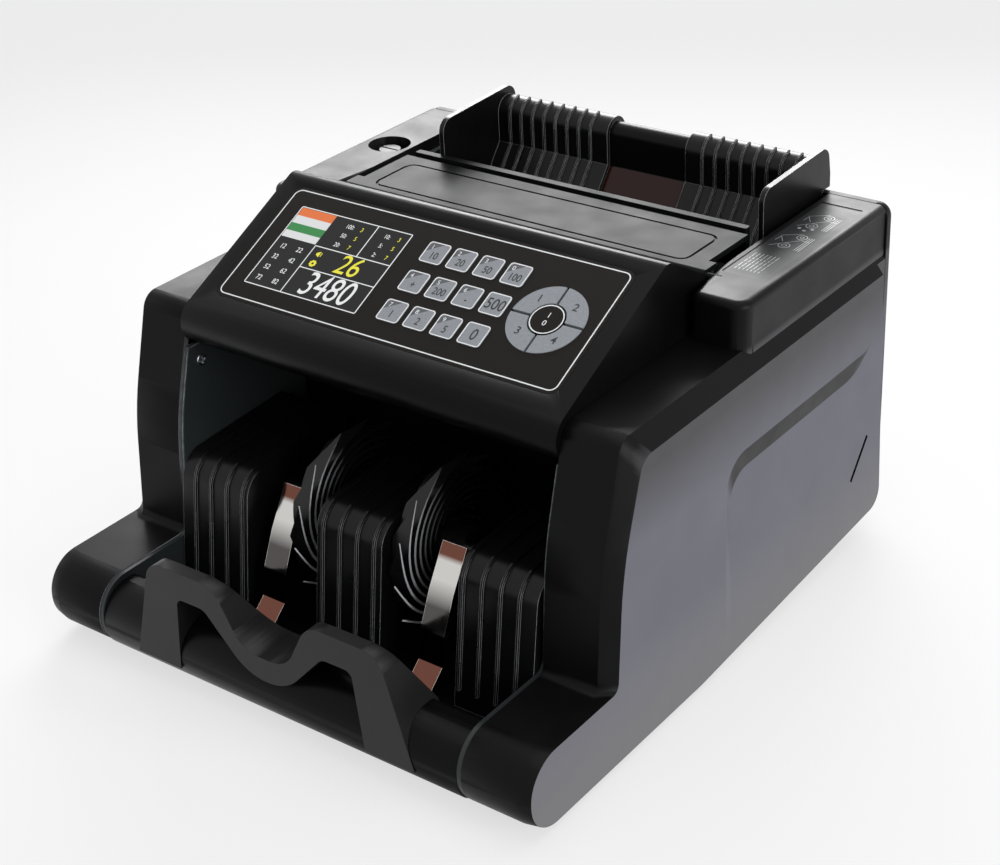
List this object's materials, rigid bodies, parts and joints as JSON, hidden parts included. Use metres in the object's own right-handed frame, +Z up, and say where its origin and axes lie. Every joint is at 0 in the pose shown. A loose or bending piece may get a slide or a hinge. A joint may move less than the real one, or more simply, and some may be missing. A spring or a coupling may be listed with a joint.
{
  "type": "banknote counter",
  "caption": "Table-top banknote counter with a rear hopper, a sloping keypad and screen, and an open front stacker bay with bladed wheels.",
  "frame": {"origin": "centre of the bounding box at the underside of the rubber feet", "axes": "+Z up, +Y towards the rear of the machine, +X to the right as seen by the user in front"},
  "size_m": [0.254, 0.277, 0.1753],
  "materials": {
    "cover_black": "satin moulded ABS",
    "hood_black": "satin moulded ABS",
    "overlay_black": "glossy printed film",
    "key_grey": "printed key cap",
    "screen": "colour display",
    "frame_steel": "blue-grey coated sheet",
    "pan_black": "black coated sheet",
    "strip_steel": "polished spring steel",
    "bar_black": "satin moulded",
    "stop_grey": "satin moulded",
    "wheel_black": "moulded rubber",
    "roller_rubber": "ground rubber",
    "foot_rubber": "rubber",
    "shaft_steel": "turned steel",
    "pulley_plastic": "moulded acetal",
    "belt_rubber": "toothed belt",
    "motor_can": "coated can",
    "board_green": "circuit board",
    "window_brown": "tinted acrylic",
    "tray_black": "moulded ribbed plastic",
    "screw_zinc": "zinc-plated",
    "inlet_black": "moulded",
    "rocker_black": "moulded"
  },
  "bodies": {
    "chassis": {"base_pan": "pan_black", "rubber_feet": "foot_rubber", "side_frame_left": "frame_steel", "side_frame_right": "frame_steel", "side_cover_left": "cover_black", "side_cover_right": "cover_black", "rear_cover": "cover_black", "panel_housing": "hood_black", "keypad_overlay": "overlay_black", "display_module": "screen", "keypad_board": "board_green", "feed_gap_bar": "hood_black", "hopper_tray": "tray_black", "hopper_window": "window_brown", "stacker_guide_left": "bar_black", "stacker_guide_centre": "bar_black", "stacker_guide_right": "bar_black", "strip_left": "strip_steel", "strip_right": "strip_steel", "front_bar": "bar_black", "stop_bracket": "stop_grey", "bay_floor": "bar_black", "main_motor": "motor_can", "drive_belts": "belt_rubber", "main_board": "board_green", "power_supply": "board_green", "inlet_socket": "inlet_black", "bay_screws": "screw_zinc"},
    "lid": {"top_lid": "hood_black"},
    "guide_left": {"hopper_guide_left": "tray_black"},
    "guide_right": {"hopper_guide_right": "tray_black"},
    "gap_dial": {"gap_screw": "rocker_black"},
    "stacker_wheels": {"impeller_left": "wheel_black", "impeller_right": "wheel_black", "impeller_shaft": "shaft_steel", "impeller_pulley": "pulley_plastic"},
    "feed_roll": {"feed_shaft": "shaft_steel", "feed_rollers": "roller_rubber"},
    "pinch_roll": {"pinch_rollers": "roller_rubber"},
    "pickup_roll": {"pickup_rollers": "roller_rubber"},
    "motor_rotor": {"motor_pulley": "shaft_steel"},
    "rocker": {"power_switch": "rocker_black"},
    "body_key_1": {"key_1": "key_grey"},
    "body_key_2": {"key_2": "key_grey"},
    "body_key_3": {"key_3": "key_grey"},
    "body_key_0": {"key_0": "key_grey"},
    "body_key_4": {"key_4": "key_grey"},
    "body_key_5": {"key_5": "key_grey"},
    "body_key_6": {"key_6": "key_grey"},
    "body_key_batch": {"key_batch": "key_grey"},
    "body_key_7": {"key_7": "key_grey"},
    "body_key_8": {"key_8": "key_grey"},
    "body_key_9": {"key_9": "key_grey"},
    "body_key_clear": {"key_clear": "key_grey"},
    "body_pad_up_left": {"pad_up_left": "key_grey"},
    "body_pad_up_right": {"pad_up_right": "key_grey"},
    "body_pad_down_left": {"pad_down_left": "key_grey"},
    "body_pad_down_right": {"pad_down_right": "key_grey"},
    "body_pad_centre": {"pad_centre": "key_grey"}
  },
  "joints": [
    {"name": "lid_hinge", "type": "hinge", "parent": "chassis", "child": "lid", "pos_m": [0, 0.0358, 0.1545], "axis": [1, 0, 0], "range_deg": [0, 75]},
    {"name": "guide_left_slide", "type": "slide", "parent": "chassis", "child": "guide_left", "axis": [1, 0, 0], "range_m": [-0.016, 0.019]},
    {"name": "guide_right_slide", "type": "slide", "parent": "chassis", "child": "guide_right", "axis": [1, 0, 0], "range_m": [-0.019, 0]},
    {"name": "gap_dial_turn", "type": "hinge", "parent": "chassis", "child": "gap_dial", "pos_m": [-0.108, 0.0833, 0.15], "axis": [0, 0, 1], "range_deg": [-180, 180]},
    {"name": "feed_spin", "type": "hinge", "parent": "chassis", "child": "feed_roll", "pos_m": [0, 0.05, 0.12], "axis": [1, 0, 0], "continuous": true},
    {"name": "stacker_spin", "type": "hinge", "parent": "chassis", "child": "stacker_wheels", "pos_m": [0, -0.048, 0.05], "axis": [1, 0, 0], "continuous": true},
    {"name": "pickup_spin", "type": "hinge", "parent": "chassis", "child": "pickup_roll", "pos_m": [0, 0.072, 0.095], "axis": [1, 0, 0], "continuous": true},
    {"name": "pinch_spin", "type": "hinge", "parent": "chassis", "child": "pinch_roll", "pos_m": [0, 0.05, 0.1435], "axis": [1, 0, 0], "continuous": true},
    {"name": "motor_spin", "type": "hinge", "parent": "chassis", "child": "motor_rotor", "pos_m": [0, 0.06, 0.04], "axis": [1, 0, 0], "continuous": true},
    {"name": "rocker_tip", "type": "hinge", "parent": "chassis", "child": "rocker", "pos_m": [0.066, 0.1315, 0.0496], "axis": [1, 0, 0], "range_deg": [0, 16]},
    {"name": "key_1_press", "type": "slide", "parent": "chassis", "child": "body_key_1", "axis": [0, 0.4376, -0.8992], "range_m": [0, 0.0004], "stiffness_N_per_m": 800},
    {"name": "key_2_press", "type": "slide", "parent": "chassis", "child": "body_key_2", "axis": [0, 0.4376, -0.8992], "range_m": [0, 0.0004], "stiffness_N_per_m": 800},
    {"name": "key_3_press", "type": "slide", "parent": "chassis", "child": "body_key_3", "axis": [0, 0.4376, -0.8992], "range_m": [0, 0.0004], "stiffness_N_per_m": 800},
    {"name": "key_0_press", "type": "slide", "parent": "chassis", "child": "body_key_0", "axis": [0, 0.4376, -0.8992], "range_m": [0, 0.0004], "stiffness_N_per_m": 800},
    {"name": "key_4_press", "type": "slide", "parent": "chassis", "child": "body_key_4", "axis": [0, 0.4376, -0.8992], "range_m": [0, 0.0004], "stiffness_N_per_m": 800},
    {"name": "key_5_press", "type": "slide", "parent": "chassis", "child": "body_key_5", "axis": [0, 0.4376, -0.8992], "range_m": [0, 0.0004], "stiffness_N_per_m": 800},
    {"name": "key_6_press", "type": "slide", "parent": "chassis", "child": "body_key_6", "axis": [0, 0.4376, -0.8992], "range_m": [0, 0.0004], "stiffness_N_per_m": 800},
    {"name": "key_batch_press", "type": "slide", "parent": "chassis", "child": "body_key_batch", "axis": [0, 0.4376, -0.8992], "range_m": [0, 0.0004], "stiffness_N_per_m": 800},
    {"name": "key_7_press", "type": "slide", "parent": "chassis", "child": "body_key_7", "axis": [0, 0.4376, -0.8992], "range_m": [0, 0.0004], "stiffness_N_per_m": 800},
    {"name": "key_8_press", "type": "slide", "parent": "chassis", "child": "body_key_8", "axis": [0, 0.4376, -0.8992], "range_m": [0, 0.0004], "stiffness_N_per_m": 800},
    {"name": "key_9_press", "type": "slide", "parent": "chassis", "child": "body_key_9", "axis": [0, 0.4376, -0.8992], "range_m": [0, 0.0004], "stiffness_N_per_m": 800},
    {"name": "key_clear_press", "type": "slide", "parent": "chassis", "child": "body_key_clear", "axis": [0, 0.4376, -0.8992], "range_m": [0, 0.0004], "stiffness_N_per_m": 800},
    {"name": "pad_up_left_press", "type": "slide", "parent": "chassis", "child": "body_pad_up_left", "axis": [0, 0.4376, -0.8992], "range_m": [0, 0.0004], "stiffness_N_per_m": 800},
    {"name": "pad_up_right_press", "type": "slide", "parent": "chassis", "child": "body_pad_up_right", "axis": [0, 0.4376, -0.8992], "range_m": [0, 0.0004], "stiffness_N_per_m": 800},
    {"name": "pad_down_left_press", "type": "slide", "parent": "chassis", "child": "body_pad_down_left", "axis": [0, 0.4376, -0.8992], "range_m": [0, 0.0004], "stiffness_N_per_m": 800},
    {"name": "pad_down_right_press", "type": "slide", "parent": "chassis", "child": "body_pad_down_right", "axis": [0, 0.4376, -0.8992], "range_m": [0, 0.0004], "stiffness_N_per_m": 800},
    {"name": "pad_centre_press", "type": "slide", "parent": "chassis", "child": "body_pad_centre", "axis": [0, 0.4376, -0.8992], "range_m": [0, 0.0004], "stiffness_N_per_m": 800}
  ],
  "couplings": [
    {"joint": "stacker_spin", "follows": "feed_spin", "ratio": 0.5},
    {"joint": "pickup_spin", "follows": "feed_spin", "ratio": 1},
    {"joint": "pinch_spin", "follows": "feed_spin", "ratio": -1.875},
    {"joint": "motor_spin", "follows": "feed_spin", "ratio": 1.375}
  ]
}
